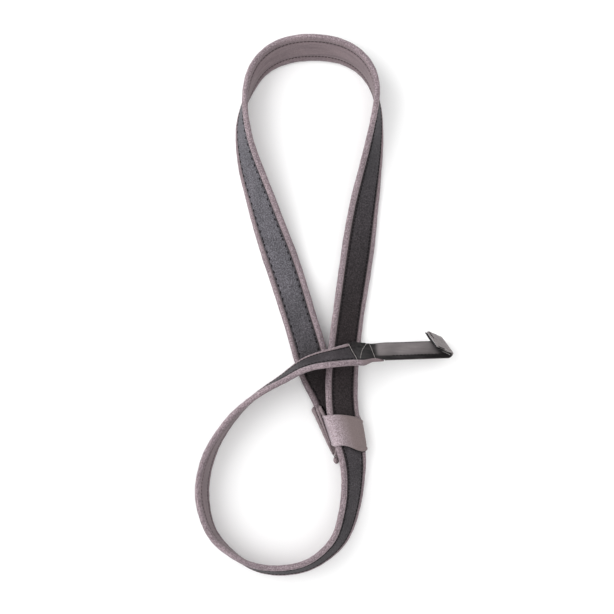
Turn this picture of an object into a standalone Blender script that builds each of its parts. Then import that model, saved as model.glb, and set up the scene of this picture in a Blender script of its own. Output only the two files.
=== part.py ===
"""Padded neck strap for a small guitar or ukulele, lying on a table. Metres, Z up.

The strap is one long padded band. It makes a neck loop, passes through a sewn keeper, makes a
second loop for the instrument and ends in a leather tab with a bent hook for the sound hole.
X points right, Y points up the neck loop and Z points up from the table.
"""

import math

import bmesh
import bpy
import numpy as np
from mathutils import Vector

UP = Vector((0.0, 0.0, 1.0))

# The padded strap, seen in section: x runs across it and y goes through it, leather side up.
HALF_WIDTH = 0.015
HALF_THICKNESS = 0.0021
SHOULDER = HALF_WIDTH - HALF_THICKNESS
COLUMN = 0.0065
COVER_WALL = 0.0006
LEATHER_HALF_WIDTH = 0.010
LEATHER_FACES = (0.0014, 0.0022)
LEATHER_COLUMN = 0.0043
RECESS_HALF_WIDTH = 0.0105
RECESS_FLOOR = 0.0011
OPENING_HALF_WIDTH = 0.0035
CORE_FACES = (-0.0011, 0.0001)
STITCH_OFFSET = 0.0086
THREAD_HALF_WIDTH = 0.00035
THREAD_FACES = (0.00236, 0.00268)

# The centre line: x, y, roll in degrees and the height of the lower edge over the table.
# At roll 0 the leather faces up, at 90 the strap stands on its edge with the leather outside.
STRAP_ROUTE = (
    (-0.0056, -0.0606, 7, 0.0009),
    (-0.0155, -0.0316, 16, 0.0),
    (-0.0220, -0.0101, 19, 0.0),
    (-0.0350, 0.0309, 14, 0.0),
    (-0.0490, 0.0714, 31, 0.0),
    (-0.0555, 0.0919, 40, 0.0),
    (-0.0620, 0.1124, 50, 0.0),
    (-0.0668, 0.1329, 62, 0.0),
    (-0.0685, 0.1494, 72, 0.0),
    (-0.0673, 0.1664, 86, 0.0),
    (-0.0630, 0.1824, 101, 0.0),
    (-0.0560, 0.1959, 112, 0.0),
    (-0.0452, 0.2059, 121, 0.0),
    (-0.0325, 0.2116, 126, 0.0),
    (-0.0170, 0.2142, 127, 0.0),
    (-0.0005, 0.2137, 125, 0.0),
    (0.0170, 0.2092, 120, 0.0),
    (0.0315, 0.1989, 111, 0.0),
    (0.0402, 0.1839, 99, 0.0),
    (0.0429, 0.1664, 84, 0.0),
    (0.0423, 0.1494, 72, 0.0),
    (0.0380, 0.1159, 54, 0.0),
    (0.0324, 0.0824, 37, 0.0),
    (0.0267, 0.0409, 25, 0.0),
    (0.0205, -0.0006, 29, 0.0004),
    (0.0153, -0.0426, 28, 0.0015),
    (0.0136, -0.0746, 27, 0.0060),
    (0.0158, -0.0986, 28, 0.0061),
    (0.0202, -0.1226, 31, 0.0049),
    (0.0228, -0.1366, 44, 0.0028),
    (0.0231, -0.1486, 52, 0.0010),
    (0.0216, -0.1631, 56, 0.0),
    (0.0180, -0.1796, 59, 0.0),
    (0.0115, -0.1956, 64, 0.0),
    (0.0002, -0.2081, 68, 0.0),
    (-0.0140, -0.2171, 71, 0.0),
    (-0.0295, -0.2211, 72, 0.0),
    (-0.0465, -0.2214, 74, 0.0),
    (-0.0640, -0.2166, 80, 0.0),
    (-0.0795, -0.2066, 87, 0.0),
    (-0.0930, -0.1926, 94, 0.0),
    (-0.1005, -0.1736, 100, 0.0),
    (-0.1026, -0.1551, 104, 0.0),
    (-0.1003, -0.1381, 104, 0.0),
    (-0.0943, -0.1206, 102, 0.0),
    (-0.0855, -0.1056, 99, 0.0),
    (-0.0755, -0.0926, 96, 0.0),
    (-0.0635, -0.0811, 92, 0.0),
    (-0.0490, -0.0706, 89, 0.0),
    (-0.0340, -0.0611, 83, 0.0025),
    (-0.0205, -0.0521, 76, 0.0085),
    (-0.0045, -0.0461, 69, 0.0160),
    (0.0085, -0.0438, 64, 0.0185),
    (0.0230, -0.0420, 55, 0.0122),
    (0.0300, -0.0412, 47, 0.0088),
    (0.0375, -0.0406, 41, 0.0068),
    (0.0475, -0.0401, 39, 0.0055),
)
LEAST_LIFT = 0.00015
TAB_ROOT_KNOT = -4
MOST_TURN = math.radians(7.5)
MOST_ROLL_STEP = math.radians(5.0)
MOST_STEP = 0.018
FINE_STEPS = 24
TANGENT_REACH = 0.0005

# The sewn end of the left leg moves with the keeper. It lies flat on the keeper's back panel.
END_START = Vector((0.0001, -0.0710, 0.0036))
END_FINISH = Vector((0.0162, -0.1126, 0.0036))
END_STATIONS = 4

# The keeper: a flat back panel, a binding over the strap end's left edge and a front band.
PANEL_THICKNESS = 0.0012
PANEL_OUTLINE = (
    (-0.0129, -0.0864),
    (0.0047, -0.1328),
    (0.0115, -0.1351),
    (0.0340, -0.1236),
    (0.0298, -0.0946),
    (0.0225, -0.0856),
)
BINDING_START = Vector((0.0027, -0.0814, 0.0))
BINDING_LENGTH = 0.048
BINDING_OUTER = 0.0166
BINDING_INNER = 0.0153
BINDING_LIP = 0.0115
BINDING_BOTTOM = 0.0015
BINDING_UNDERSIDE = 0.0060
BINDING_TOP = 0.0073
RUN_DIRECTION = Vector((0.169, -0.986, 0.0)).normalized()
BAND_START = Vector((0.0150, -0.0946, 0.0))
BAND_LENGTH = 0.0265
BAND_SLANT = 0.27
BAND_THICKNESS = 0.0013
BAND_FOOT = (-0.0169, -0.0126)
SEAM_HALF_WIDTH = 0.0004
SEAM_OFFSET = 0.0134
SEAM_FACES = (0.0074, 0.0079)

# The tab and its hook. The hook's crease is slanted across the tab.
TAB_HALF_WIDTH = 0.009
TAB_GAP = 0.0003
LOWER_GAP = 0.0007
STITCH_GAP = 0.0012
TAB_START = Vector((0.0475, -0.0401))
TAB_ROLL = math.radians(39.0)
TAB_HEADING = math.radians(1.7)
TAB_FALL = math.radians(8.9)
TAB_UPPER = (0.0024, 0.0034)
HOOK_PLATE = (0.0016, 0.0021)
TAB_LOWER = (0.0002, 0.0013)
PLATE_START = 0.006
PLATE_MARGIN = 0.0015
CREASE_NORTH = 0.0478
CREASE_SLANT = math.radians(22.0)
BEND_CENTRE = 0.0042
BEND_ANGLE = math.radians(135.0)
BEND_STEPS = 9
FLAP_LENGTH = 0.0240
TAB_STITCH_OFFSET = 0.0063
TAB_THREAD_FACES = (0.0035, 0.0039)
ROOT_SIDES = (-0.0112, 0.0095)
END_SCALE = 0.72
ZIGZAG = ((0.0250, -0.0078), (0.0287, 0.0080), (0.0350, -0.0078), (0.0410, 0.0072))
ZIGZAG_HEIGHT = 0.0040
ZIGZAG_RADIUS = 0.0003
ZIGZAG_STEPS = 5

COLOURS = {
    "velour": ((0.30, 0.235, 0.235), 0.95, 0.0),
    "foam": ((0.55, 0.52, 0.48), 0.9, 0.0),
    "strip_leather": ((0.058, 0.05, 0.052), 0.6, 0.0),
    "dark_thread": ((0.03, 0.028, 0.03), 0.7, 0.0),
    "keeper_fabric": ((0.27, 0.23, 0.225), 0.9, 0.0),
    "tab_leather": ((0.03, 0.03, 0.033), 0.35, 0.0),
    "tab_lining": ((0.15, 0.13, 0.125), 0.7, 0.0),
    "pale_thread": ((0.5, 0.48, 0.47), 0.7, 0.0),
    "spring_steel": ((0.45, 0.45, 0.46), 0.35, 1.0),
}


class Station:
    """A place on the centre line, with the directions across the strap and out of its leather."""

    def __init__(self, point, tangent, roll, scale=1.0):
        self.point = point
        self.roll = roll
        self.scale = scale
        self.along = tangent.normalized()
        right = self.along.cross(UP).normalized()
        level_up = right.cross(self.along).normalized()
        self.across = right * math.cos(roll) + level_up * math.sin(roll)
        self.outward = level_up * math.cos(roll) - right * math.sin(roll)

    def moved(self, distance):
        return Station(self.point + self.along * distance, self.along, self.roll)

    def place(self, x, y, ahead=0.0):
        return self.point + self.across * x + self.outward * y + self.along * ahead


def natural_spline(knots, values):
    """A function that runs smoothly through the values at the knots."""
    count = len(knots)
    gaps = np.diff(knots)
    matrix = np.eye(count)
    change = np.zeros(count)
    for i in range(1, count - 1):
        matrix[i, i - 1] = gaps[i - 1]
        matrix[i, i] = 2.0 * (gaps[i - 1] + gaps[i])
        matrix[i, i + 1] = gaps[i]
        after = (values[i + 1] - values[i]) / gaps[i]
        before = (values[i] - values[i - 1]) / gaps[i - 1]
        change[i] = 6.0 * (after - before)
    bend = np.linalg.solve(matrix, change)

    def read(at):
        i = min(max(int(np.searchsorted(knots, at)) - 1, 0), count - 2)
        gap = gaps[i]
        done = at - knots[i]
        left = knots[i + 1] - at
        cubic = (bend[i] * left**3 + bend[i + 1] * done**3) / (6.0 * gap)
        start = (values[i] / gap - bend[i] * gap / 6.0) * left
        end = (values[i + 1] / gap - bend[i + 1] * gap / 6.0) * done
        return float(cubic + start + end)

    return read


def read_route(route):
    """Stations along the route, closer together where it bends or twists, and the root's number."""
    x, y, roll, lift = np.array(route, dtype=float).T
    knots = np.concatenate(([0.0], np.cumsum(np.hypot(np.diff(x), np.diff(y)))))
    read_x = natural_spline(knots, x)
    read_y = natural_spline(knots, y)
    read_roll = natural_spline(knots, np.radians(roll))
    read_lift = natural_spline(knots, lift)
    root_knot = knots[TAB_ROOT_KNOT]

    def point_at(where):
        standing = SHOULDER * abs(math.sin(read_roll(where))) + HALF_THICKNESS
        height = standing + max(read_lift(where), LEAST_LIFT)
        return Vector((read_x(where), read_y(where), height))

    def station_at(where):
        before = point_at(max(where - TANGENT_REACH, 0.0))
        after = point_at(min(where + TANGENT_REACH, knots[-1]))
        taper = max(where - root_knot, 0.0) / (knots[-1] - root_knot)
        scale = 1.0 + (END_SCALE - 1.0) * taper
        return Station(point_at(where), after - before, read_roll(where), scale)

    fine = [
        knots[i] + (knots[i + 1] - knots[i]) * step / FINE_STEPS
        for i in range(len(knots) - 1)
        for step in range(FINE_STEPS)
    ]
    picked = [station_at(0.0)]
    for where, following in zip(fine[1:], fine[2:] + [knots[-1]]):
        if where == root_knot:
            root = len(picked)
            picked.append(station_at(where))
            continue
        ahead = station_at(following)
        turn = picked[-1].along.angle(ahead.along)
        twist = abs(ahead.roll - picked[-1].roll)
        length = (ahead.point - picked[-1].point).length
        if turn > MOST_TURN or twist > MOST_ROLL_STEP or length > MOST_STEP:
            picked.append(station_at(where))
    picked.append(station_at(knots[-1]))
    return picked, root


def straight(start, finish, count):
    """Level stations on a straight line."""
    steps = [i / (count - 1) for i in range(count)]
    return [Station(start.lerp(finish, step), finish - start, 0.0) for step in steps]


def make_collection(name, hidden=False):
    made = bpy.data.collections.new(name)
    bpy.context.scene.collection.children.link(made)
    made.hide_render = hidden
    return made


def make_materials():
    made = {}
    for name, (colour, roughness, metallic) in COLOURS.items():
        material = bpy.data.materials.new(name)
        material.use_nodes = True
        shader = material.node_tree.nodes["Principled BSDF"]
        shader.inputs["Base Color"].default_value = (*colour, 1.0)
        shader.inputs["Roughness"].default_value = roughness
        shader.inputs["Metallic"].default_value = metallic
        made[name] = material
    return made


def body_empty(name, place):
    """The empty that carries the pieces of one moving body."""
    made = bpy.data.objects.new(name, None)
    made.location = place
    PARTS.objects.link(made)
    bpy.context.view_layer.update()
    return made


def link_part(name, data, material, body):
    """An object for this piece, under the empty of the body that it moves with."""
    data.materials.append(MATERIALS[material])
    made = bpy.data.objects.new(name, data)
    PARTS.objects.link(made)
    made.parent = body
    made.matrix_parent_inverse = body.matrix_world.inverted()
    return made


def outline_curve(name, outline):
    """A closed flat curve through these points."""
    curve = bpy.data.curves.new(name, "CURVE")
    curve.dimensions = "2D"
    spline = curve.splines.new("POLY")
    spline.points.add(len(outline) - 1)
    spline.use_cyclic_u = True
    for point, (x, y) in zip(spline.points, outline):
        point.co = (x, y, 0.0, 1.0)
    return curve


def sweep(name, stations, profile, material, body, tapers=True):
    """Carries a closed profile along the stations, as a curve with a bevel object."""
    clockwise = profile[::-1]
    shape = bpy.data.objects.new(name + "_profile", outline_curve(name + "_profile", clockwise))
    PROFILES.objects.link(shape)
    curve = bpy.data.curves.new(name, "CURVE")
    curve.dimensions = "3D"
    curve.twist_mode = "Z_UP"
    curve.bevel_mode = "OBJECT"
    curve.bevel_object = shape
    curve.use_fill_caps = True
    spline = curve.splines.new("POLY")
    spline.points.add(len(stations) - 1)
    for point, station in zip(spline.points, stations):
        point.co = (*station.point, 1.0)
        point.tilt = -station.roll
        point.radius = station.scale if tapers else 1.0
    return link_part(name, curve, material, body)


def extrusion(name, outline, thickness, material, body):
    """A flat outline with this thickness, centred on its own plane."""
    curve = outline_curve(name, outline)
    curve.fill_mode = "BOTH"
    curve.extrude = thickness / 2.0
    return link_part(name, curve, material, body)


def loft(name, rings, material, body):
    """A closed solid through rings that have the same number of points."""
    size = len(rings[0])
    last = (len(rings) - 1) * size
    points = [point for ring in rings for point in ring]
    faces = [list(range(size)), list(range(last, last + size))]
    for start in range(0, last, size):
        for i in range(size):
            after = (i + 1) % size
            faces.append([start + i, start + after, start + size + after, start + size + i])
    mesh = bpy.data.meshes.new(name)
    mesh.from_pydata([tuple(point) for point in points], [], faces)
    work = bmesh.new()
    work.from_mesh(mesh)
    bmesh.ops.recalc_face_normals(work, faces=work.faces)
    work.to_mesh(mesh)
    work.free()
    return link_part(name, mesh, material, body)


def mirrored(right_half):
    """A closed profile from its right half, listed upwards from the middle of the bottom."""
    return right_half + [(-x, y) for x, y in reversed(right_half) if x != 0.0]


def box_profile(half_width, faces, columns=()):
    """A flat rectangle with points on these columns, so that it twists as its neighbours do."""
    bottom, top = faces
    across = [*columns, half_width]
    half = [(x, bottom) for x in across] + [(x, top) for x in reversed(across)]
    return mirrored(half)


def cover_profile():
    """A padded sleeve, open in the middle of its top, where the leather strip closes it."""
    floor = COVER_WALL - HALF_THICKNESS
    underside = RECESS_FLOOR - COVER_WALL
    outside = [
        (0.0, -HALF_THICKNESS),
        (COLUMN, -HALF_THICKNESS),
        (SHOULDER, -HALF_THICKNESS),
        (HALF_WIDTH, -0.0007),
        (HALF_WIDTH, 0.0007),
        (SHOULDER, HALF_THICKNESS),
        (RECESS_HALF_WIDTH, HALF_THICKNESS),
        (RECESS_HALF_WIDTH, RECESS_FLOOR),
        (OPENING_HALF_WIDTH, RECESS_FLOOR),
    ]
    inside = [
        (OPENING_HALF_WIDTH, underside),
        (0.0109, underside),
        (0.0128, 0.0010),
        (0.0140, 0.0),
        (0.0126, floor),
        (COLUMN, floor),
        (0.0, floor),
    ]
    return mirrored(outside + inside)


def core_profile():
    """The foam inside the cover."""
    bottom, top = CORE_FACES
    below = [(0.0, bottom), (COLUMN, bottom), (0.0123, bottom), (0.0131, -0.0004)]
    above = [(0.0123, top), (0.0109, top), (OPENING_HALF_WIDTH, top)]
    return mirrored(below + above)


def thread_profile(offset):
    """A flat thread that lies on the leather at this offset from its middle."""
    bottom, top = THREAD_FACES
    left = offset - THREAD_HALF_WIDTH
    right = offset + THREAD_HALF_WIDTH
    return [(left, bottom), (right, bottom), (right, top), (left, top)]


def build_running_strap(body):
    stations, root = read_route(STRAP_ROUTE)
    leather_end = stations[root].moved(-TAB_GAP)
    stitch_end = stations[root].moved(-STITCH_GAP)
    leather = box_profile(LEATHER_HALF_WIDTH, LEATHER_FACES, (LEATHER_COLUMN, STITCH_OFFSET))
    left, right = ROOT_SIDES
    bottom, top = TAB_UPPER
    columns = [left, left / 2.0, 0.0, right / 2.0, right]
    tab_leather = [(x, bottom) for x in columns] + [(x, top) for x in reversed(columns)]
    sweep("strap_cover", stations, cover_profile(), "velour", body)
    sweep("strap_core", stations, core_profile(), "foam", body)
    sweep("leather_strip", [*stations[:root], leather_end], leather, "strip_leather", body)
    for name, side in (("stitch_row_outer", -1.0), ("stitch_row_inner", 1.0)):
        profile = thread_profile(side * STITCH_OFFSET)
        sweep(name, [*stations[:root], stitch_end], profile, "dark_thread", body)
    sweep("tab_root", stations[root:], tab_leather, "tab_leather", body, tapers=False)
    build_zigzag(stations[root:], body)


def build_strap_end(body):
    stations = straight(END_START, END_FINISH, END_STATIONS)
    leather = box_profile(LEATHER_HALF_WIDTH, LEATHER_FACES)
    sweep("strap_end_cover", stations, cover_profile(), "velour", body)
    sweep("strap_end_core", stations, core_profile(), "foam", body)
    sweep("strap_end_leather", stations, leather, "strip_leather", body)
    for name, side in (("strap_end_stitches_left", 1.0), ("strap_end_stitches_right", -1.0)):
        sweep(name, stations, thread_profile(side * STITCH_OFFSET), "dark_thread", body)


def ribbon(path, thickness):
    """A closed outline of this thickness round an open path."""
    left = []
    right = []
    for i, here in enumerate(path):
        forward = Vector(path[min(i + 1, len(path) - 1)]) - Vector(path[max(i - 1, 0)])
        side = Vector((-forward.y, forward.x)).normalized() * (thickness / 2.0)
        left.append(Vector(here) + side)
        right.append(Vector(here) - side)
    return left + right[::-1]


def band_path(foot):
    """The front band's middle line, from its foot on the left, over the strap, to the panel.

    It is read in a plane across the running strap: first to the right, then up.
    """
    return [
        (foot, 0.0069),
        (-0.0156, 0.0110),
        (-0.0150, 0.0190),
        (-0.0146, 0.0212),
        (-0.0134, 0.0230),
        (-0.0114, 0.0238),
        (-0.0096, 0.0237),
        (0.0018, 0.0177),
        (0.0132, 0.0117),
        (0.0144, 0.0102),
        (0.0148, 0.0083),
        (0.0146, 0.0060),
        (0.0141, 0.0015),
    ]


def build_keeper(body):
    panel = extrusion("keeper_back_panel", PANEL_OUTLINE, PANEL_THICKNESS, "keeper_fabric", body)
    panel.location.z = PANEL_THICKNESS / 2.0

    end_direction = (END_FINISH - END_START).normalized()
    line = [BINDING_START, BINDING_START + end_direction * BINDING_LENGTH]
    binding_line = [Station(point, end_direction, 0.0) for point in line]
    binding = [
        (BINDING_OUTER, BINDING_BOTTOM),
        (BINDING_OUTER, BINDING_TOP),
        (BINDING_LIP, BINDING_TOP),
        (BINDING_LIP, BINDING_UNDERSIDE),
        (BINDING_INNER, BINDING_UNDERSIDE),
        (BINDING_INNER, BINDING_BOTTOM),
    ]
    sweep("keeper_binding", binding_line, binding, "keeper_fabric", body)
    seam_bottom, seam_top = SEAM_FACES
    seam = [
        (SEAM_OFFSET - SEAM_HALF_WIDTH, seam_bottom),
        (SEAM_OFFSET + SEAM_HALF_WIDTH, seam_bottom),
        (SEAM_OFFSET + SEAM_HALF_WIDTH, seam_top),
        (SEAM_OFFSET - SEAM_HALF_WIDTH, seam_top),
    ]
    sweep("keeper_seam", binding_line, seam, "dark_thread", body)

    slanted = UP.cross(RUN_DIRECTION) + RUN_DIRECTION * BAND_SLANT
    rings = []
    for step, foot in zip((0.0, 1.0), BAND_FOOT):
        origin = BAND_START + RUN_DIRECTION * (BAND_LENGTH * step)
        outline = ribbon(band_path(foot), BAND_THICKNESS)
        rings.append([origin + slanted * point.x + UP * point.y for point in outline])
    loft("keeper_front_band", rings, "keeper_fabric", body)


def tab_station():
    """The end of the strap, where the bare tab goes on, falling towards the table."""
    height = SHOULDER * math.sin(TAB_ROLL) + HALF_THICKNESS + STRAP_ROUTE[-1][3]
    tangent = Vector((math.cos(TAB_HEADING), math.sin(TAB_HEADING), -math.tan(TAB_FALL)))
    return Station(Vector((*TAB_START, height)), tangent, TAB_ROLL)


def hook_rings(faces, half_width, start, flap_trim=0.0):
    """Sections of one layer, from the strap's end through the slanted bend to the flap's end."""
    frame = tab_station()
    slant = math.tan(CREASE_SLANT)
    forward = frame.along * math.cos(CREASE_SLANT) - frame.across * math.sin(CREASE_SLANT)
    bottom, top = faces
    corners = ((-half_width, bottom), (half_width, bottom), (half_width, top), (-half_width, top))
    rings = [[frame.place(x, y, start) for x, y in corners]]

    def bent(x, y, angle, further):
        hinge = frame.place(x, BEND_CENTRE, CREASE_NORTH + (x + TAB_HALF_WIDTH) * slant)
        radius = BEND_CENTRE - y
        spoke = forward * math.sin(angle) - frame.outward * math.cos(angle)
        onward = forward * math.cos(angle) + frame.outward * math.sin(angle)
        return hinge + spoke * radius + onward * further

    for step in range(BEND_STEPS + 1):
        angle = BEND_ANGLE * step / BEND_STEPS
        rings.append([bent(x, y, angle, 0.0) for x, y in corners])
    rings.append([bent(x, y, BEND_ANGLE, FLAP_LENGTH - flap_trim) for x, y in corners])
    return rings


def build_zigzag(stations, body):
    """The pale box stitch that holds the tab's root, laid on the root's own surface."""
    points = []
    for (start_x, start_across), (end_x, end_across) in zip(ZIGZAG, ZIGZAG[1:]):
        for step in range(ZIGZAG_STEPS):
            share = step / ZIGZAG_STEPS
            along = start_x + (end_x - start_x) * share
            points.append((along, start_across + (end_across - start_across) * share))
    points.append(ZIGZAG[-1])
    curve = bpy.data.curves.new("tab_zigzag", "CURVE")
    curve.dimensions = "3D"
    curve.bevel_depth = ZIGZAG_RADIUS
    curve.bevel_resolution = 1
    curve.use_fill_caps = True
    spline = curve.splines.new("POLY")
    spline.points.add(len(points) - 1)
    for point, (along, across) in zip(spline.points, points):
        point.co = (*on_strap(stations, along, across, ZIGZAG_HEIGHT), 1.0)
    link_part("tab_zigzag", curve, "pale_thread", body)


def on_strap(stations, along_x, across, height):
    """A place over the last stretch of the strap, by its X."""
    for before, after in zip(stations, stations[1:]):
        start = before.place(across, height)
        end = after.place(across, height)
        if start.x <= along_x <= end.x:
            share = (along_x - start.x) / (end.x - start.x)
            return start.lerp(end, share)
    raise ValueError("no place on the strap at this X")


def build_tab(body):
    upper = hook_rings(TAB_UPPER, TAB_HALF_WIDTH, TAB_GAP)
    lower = hook_rings(TAB_LOWER, TAB_HALF_WIDTH, LOWER_GAP)
    plate = hook_rings(HOOK_PLATE, TAB_HALF_WIDTH - PLATE_MARGIN, PLATE_START, PLATE_MARGIN)
    loft("tab_upper", upper, "tab_leather", body)
    loft("tab_lower", lower, "tab_lining", body)
    loft("hook_plate", plate, "spring_steel", body)
    frame = tab_station()
    bottom, top = TAB_THREAD_FACES
    left = TAB_STITCH_OFFSET - THREAD_HALF_WIDTH
    right = TAB_STITCH_OFFSET + THREAD_HALF_WIDTH
    corners = ((left, bottom), (right, bottom), (right, top), (left, top))
    ends = (PLATE_START, CREASE_NORTH)
    rings = [[frame.place(x, y, ahead) for x, y in corners] for ahead in ends]
    loft("tab_edge_stitch", rings, "dark_thread", body)


for leftover in list(bpy.data.objects):
    bpy.data.objects.remove(leftover)
PARTS = make_collection("neck_strap")
PROFILES = make_collection("profiles", hidden=True)
MATERIALS = make_materials()

strap_body = body_empty("strap_body", (0.0, 0.0, 0.0))
keeper_body = body_empty("keeper_slide", BAND_START)
hook_body = body_empty("tab_flex", tab_station().place(0.0, TAB_UPPER[1]))
build_running_strap(strap_body)
build_strap_end(keeper_body)
build_keeper(keeper_body)
build_tab(hook_body)
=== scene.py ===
"""Looks of the padded neck strap: velour band, leather strip, stitches, keeper, tab and hook.

Metres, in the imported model's own frame. The pieces are built along the CAD strap's centre line,
apart from a few of its places at the sewn end and by the keeper.
"""

import math

import bpy
import numpy as np
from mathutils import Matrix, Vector


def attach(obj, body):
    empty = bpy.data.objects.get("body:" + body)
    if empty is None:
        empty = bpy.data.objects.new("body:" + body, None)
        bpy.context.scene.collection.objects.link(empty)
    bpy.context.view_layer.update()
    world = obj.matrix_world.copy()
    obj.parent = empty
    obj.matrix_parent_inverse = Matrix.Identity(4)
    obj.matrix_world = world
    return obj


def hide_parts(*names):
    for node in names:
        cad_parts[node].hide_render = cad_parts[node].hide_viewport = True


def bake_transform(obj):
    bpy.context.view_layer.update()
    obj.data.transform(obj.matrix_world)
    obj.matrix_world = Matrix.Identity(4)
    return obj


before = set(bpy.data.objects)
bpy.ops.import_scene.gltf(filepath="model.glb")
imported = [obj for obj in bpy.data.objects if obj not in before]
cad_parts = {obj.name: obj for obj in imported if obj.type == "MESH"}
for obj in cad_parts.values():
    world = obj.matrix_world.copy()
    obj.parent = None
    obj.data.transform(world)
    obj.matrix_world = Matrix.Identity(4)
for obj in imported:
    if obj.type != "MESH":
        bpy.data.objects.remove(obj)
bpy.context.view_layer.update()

UP = np.array((0.0, 0.0, 1.0))
MM = 0.001
CORD_REFERENCE = np.array((0.1, 0.02, 1.0))
SEED = 20

# ---------------------------------------------------------------- the strap's centre line

# x, y, roll in degrees and the height of the lower edge over the table. It starts at the sewn end
# of the left leg: the first three places lie flat on the keeper's back panel.
ROUTE = (
    (0.0174, -0.1121, 0, 0.0015), (0.0088, -0.0914, 0, 0.0015), (0.0001, -0.0710, 0, 0.0015),
    (-0.0056, -0.0606, 7, 0.0009), (-0.0155, -0.0316, 16, 0.0), (-0.0220, -0.0101, 19, 0.0),
    (-0.0350, 0.0309, 14, 0.0), (-0.0490, 0.0714, 31, 0.0), (-0.0555, 0.0919, 40, 0.0),
    (-0.0620, 0.1124, 50, 0.0), (-0.0668, 0.1329, 62, 0.0), (-0.0685, 0.1494, 72, 0.0),
    (-0.0673, 0.1664, 86, 0.0), (-0.0630, 0.1824, 101, 0.0), (-0.0560, 0.1959, 112, 0.0),
    (-0.0452, 0.2059, 121, 0.0), (-0.0325, 0.2116, 126, 0.0), (-0.0170, 0.2142, 127, 0.0),
    (-0.0005, 0.2137, 125, 0.0), (0.0170, 0.2092, 120, 0.0), (0.0315, 0.1989, 111, 0.0),
    (0.0402, 0.1839, 99, 0.0), (0.0429, 0.1664, 84, 0.0), (0.0423, 0.1494, 72, 0.0),
    (0.0380, 0.1159, 54, 0.0), (0.0324, 0.0824, 37, 0.0), (0.0267, 0.0409, 25, 0.0),
    (0.0205, -0.0006, 29, 0.0004), (0.0153, -0.0426, 28, 0.0015), (0.0136, -0.0746, 27, 0.0060),
    (0.0160, -0.0986, 30, 0.0055), (0.0217, -0.1226, 39, 0.0036), (0.0233, -0.1366, 47, 0.0026),
    (0.0231, -0.1486, 52, 0.0010), (0.0216, -0.1631, 56, 0.0), (0.0180, -0.1796, 59, 0.0),
    (0.0115, -0.1956, 64, 0.0), (0.0002, -0.2081, 68, 0.0), (-0.0140, -0.2171, 71, 0.0),
    (-0.0295, -0.2211, 72, 0.0), (-0.0465, -0.2214, 74, 0.0), (-0.0640, -0.2166, 80, 0.0),
    (-0.0795, -0.2066, 87, 0.0), (-0.0930, -0.1926, 94, 0.0), (-0.1005, -0.1736, 100, 0.0),
    (-0.1026, -0.1551, 104, 0.0), (-0.1003, -0.1381, 104, 0.0), (-0.0943, -0.1206, 102, 0.0),
    (-0.0855, -0.1056, 99, 0.0), (-0.0755, -0.0926, 96, 0.0), (-0.0635, -0.0811, 92, 0.0),
    (-0.0490, -0.0706, 89, 0.0), (-0.0340, -0.0611, 83, 0.0025), (-0.0205, -0.0521, 76, 0.0085),
    (-0.0045, -0.0461, 69, 0.0160), (0.0085, -0.0438, 64, 0.0185), (0.0230, -0.0420, 55, 0.0122),
    (0.0300, -0.0412, 47, 0.0088), (0.0375, -0.0406, 41, 0.0068), (0.0475, -0.0401, 39, 0.0055),
)
SPLIT_KNOT = 11
SEWN_END_KNOT = 2
ROOT_KNOT = -4
ROOT_OVERLAP = 0.0016
HALF_THICKNESS = 0.0021
SHOULDER = 0.0129
LEAST_LIFT = 0.00015
RING_STEP = 0.0010
FINE_STEPS = 40

# The bare tab goes straight on from the strap's end.
TAB_ROLL = math.radians(39.0)
TAB_HEADING = math.radians(1.7)
TAB_FALL = math.radians(8.9)
TAB_RUN = 0.075


def natural_spline(knots, values, at):
    """Values of the natural cubic spline through the knots, at these places."""
    count = len(knots)
    gaps = np.diff(knots)
    matrix = np.eye(count)
    change = np.zeros(count)
    for i in range(1, count - 1):
        matrix[i, i - 1] = gaps[i - 1]
        matrix[i, i] = 2.0 * (gaps[i - 1] + gaps[i])
        matrix[i, i + 1] = gaps[i]
        after = (values[i + 1] - values[i]) / gaps[i]
        before = (values[i] - values[i - 1]) / gaps[i - 1]
        change[i] = 6.0 * (after - before)
    bend = np.linalg.solve(matrix, change)
    i = np.clip(np.searchsorted(knots, at) - 1, 0, count - 2)
    gap = gaps[i]
    done = at - knots[i]
    left = knots[i + 1] - at
    cubic = (bend[i] * left**3 + bend[i + 1] * done**3) / (6.0 * gap)
    start = (values[i] / gap - bend[i] * gap / 6.0) * left
    end = (values[i + 1] / gap - bend[i + 1] * gap / 6.0) * done
    return cubic + start + end


def unit(vectors):
    return vectors / np.linalg.norm(vectors, axis=-1, keepdims=True)


def lengths_along(points):
    """How far along a line of points each of them lies."""
    return np.concatenate(([0.0], np.cumsum(np.linalg.norm(np.diff(points, axis=0), axis=1))))


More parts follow.
